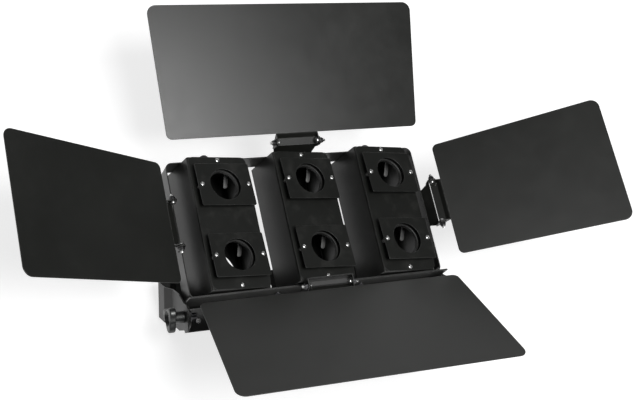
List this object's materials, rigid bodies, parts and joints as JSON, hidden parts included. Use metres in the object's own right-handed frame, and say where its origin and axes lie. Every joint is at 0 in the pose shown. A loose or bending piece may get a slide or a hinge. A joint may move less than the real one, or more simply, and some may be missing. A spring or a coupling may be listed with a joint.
{
  "type": "barn door attachment",
  "caption": "Black steel barn door with folding leaves on friction hinges around a frame of swivelling aperture banks, on a yoke with a clamp knob.",
  "frame": {"origin": "centre of the frame, level with the front panels", "axes": "+X right, +Y towards the top leaf, +Z out of the front"},
  "size_m": [0.8181, 0.5355, 0.2586],
  "materials": {
    "body_coat": "satin black powder coat, fine grain",
    "panel_coat": "matt black powder coat, fine grain",
    "leaf_coat": "matt black powder coat on flat steel sheet",
    "rail_coat": "satin black powder coat",
    "knob_alloy": "cast alloy, dull grey",
    "spring_steel": "dull spring steel",
    "dark_fastener": "black oxide",
    "bright_fastener": "bright zinc plate"
  },
  "bodies": {
    "frame": {"outer_frame": "body_coat", "lower_rail": "rail_coat", "rail_screws": "bright_fastener", "rail_nuts": "dark_fastener", "clamp_stud": "bright_fastener", "pivot_bolt": "bright_fastener", "pivot_nut": "dark_fastener", "yoke_washers": "bright_fastener", "swivel_bolts": "bright_fastener", "swivel_cap_nuts": "dark_fastener", "swivel_washers": "bright_fastener", "swivel_pins": "bright_fastener", "bracket_rivets": "dark_fastener", "hinge_bracket_top": "body_coat", "hinge_screws_top": "bright_fastener", "hinge_nuts_top": "dark_fastener", "hinge_bracket_bottom": "body_coat", "hinge_screws_bottom": "bright_fastener", "hinge_nuts_bottom": "dark_fastener", "hinge_bracket_left": "body_coat", "hinge_screws_left": "bright_fastener", "hinge_nuts_left": "dark_fastener", "hinge_bracket_right": "body_coat", "hinge_screws_right": "bright_fastener", "hinge_nuts_right": "dark_fastener"},
    "yoke": {"yoke": "rail_coat"},
    "knob": {"clamp_knob": "knob_alloy"},
    "bank_left": {"bank_housing_left": "body_coat", "front_panel_left": "panel_coat", "retaining_rings_left": "panel_coat", "lamp_clips_left": "bright_fastener", "upper_aperture_plate_left": "panel_coat", "lower_aperture_plate_left": "panel_coat", "plate_standoffs_left": "bright_fastener", "bank_screws_left": "bright_fastener"},
    "bank_centre": {"bank_housing_centre": "body_coat", "front_panel_centre": "panel_coat", "retaining_rings_centre": "panel_coat", "lamp_clips_centre": "bright_fastener", "upper_aperture_plate_centre": "panel_coat", "lower_aperture_plate_centre": "panel_coat", "plate_standoffs_centre": "bright_fastener", "bank_screws_centre": "bright_fastener"},
    "bank_right": {"bank_housing_right": "body_coat", "front_panel_right": "panel_coat", "retaining_rings_right": "panel_coat", "lamp_clips_right": "bright_fastener", "upper_aperture_plate_right": "panel_coat", "lower_aperture_plate_right": "panel_coat", "plate_standoffs_right": "bright_fastener", "bank_screws_right": "bright_fastener"},
    "leaf_top": {"leaf_top": "leaf_coat"},
    "leaf_bottom": {"leaf_bottom": "leaf_coat"},
    "leaf_left": {"leaf_left": "leaf_coat"},
    "leaf_right": {"leaf_right": "leaf_coat"}
  },
  "joints": [
    {"name": "swivel_left", "type": "hinge", "parent": "frame", "child": "bank_left", "pos_m": [-0.12, 0, -0.034], "axis": [0, 1, 0], "range_deg": [-35.3, 14.7]},
    {"name": "swivel_centre", "type": "hinge", "parent": "frame", "child": "bank_centre", "pos_m": [0, 0, -0.034], "axis": [0, 1, 0], "range_deg": [-35.2, 14.8]},
    {"name": "swivel_right", "type": "hinge", "parent": "frame", "child": "bank_right", "pos_m": [0.12, 0, -0.034], "axis": [0, 1, 0], "range_deg": [-36.3, 13.7]},
    {"name": "fold_top", "type": "hinge", "parent": "frame", "child": "leaf_top", "pos_m": [0, 0.1013, 0.012], "axis": [1, 0, 0], "range_deg": [-37.1, 72.9]},
    {"name": "fold_bottom", "type": "hinge", "parent": "frame", "child": "leaf_bottom", "pos_m": [0, -0.1013, 0.012], "axis": [-1, 0, 0], "range_deg": [-56.2, 53.8]},
    {"name": "fold_left", "type": "hinge", "parent": "frame", "child": "leaf_left", "pos_m": [-0.1872, 0, 0.0095], "axis": [0, 1, 0], "range_deg": [-49.1, 60.9]},
    {"name": "fold_right", "type": "hinge", "parent": "frame", "child": "leaf_right", "pos_m": [0.1872, 0, 0.0095], "axis": [0, -1, 0], "range_deg": [-47.5, 62.5]},
    {"name": "yoke_tilt", "type": "hinge", "parent": "frame", "child": "yoke", "pos_m": [0, -0.11, -0.035], "axis": [1, 0, 0], "range_deg": [-107.5, 7.5]},
    {"name": "knob_turn", "type": "hinge", "parent": "frame", "child": "knob", "pos_m": [-0.205, -0.11, -0.035], "axis": [1, 0, 0], "continuous": true}
  ]
}
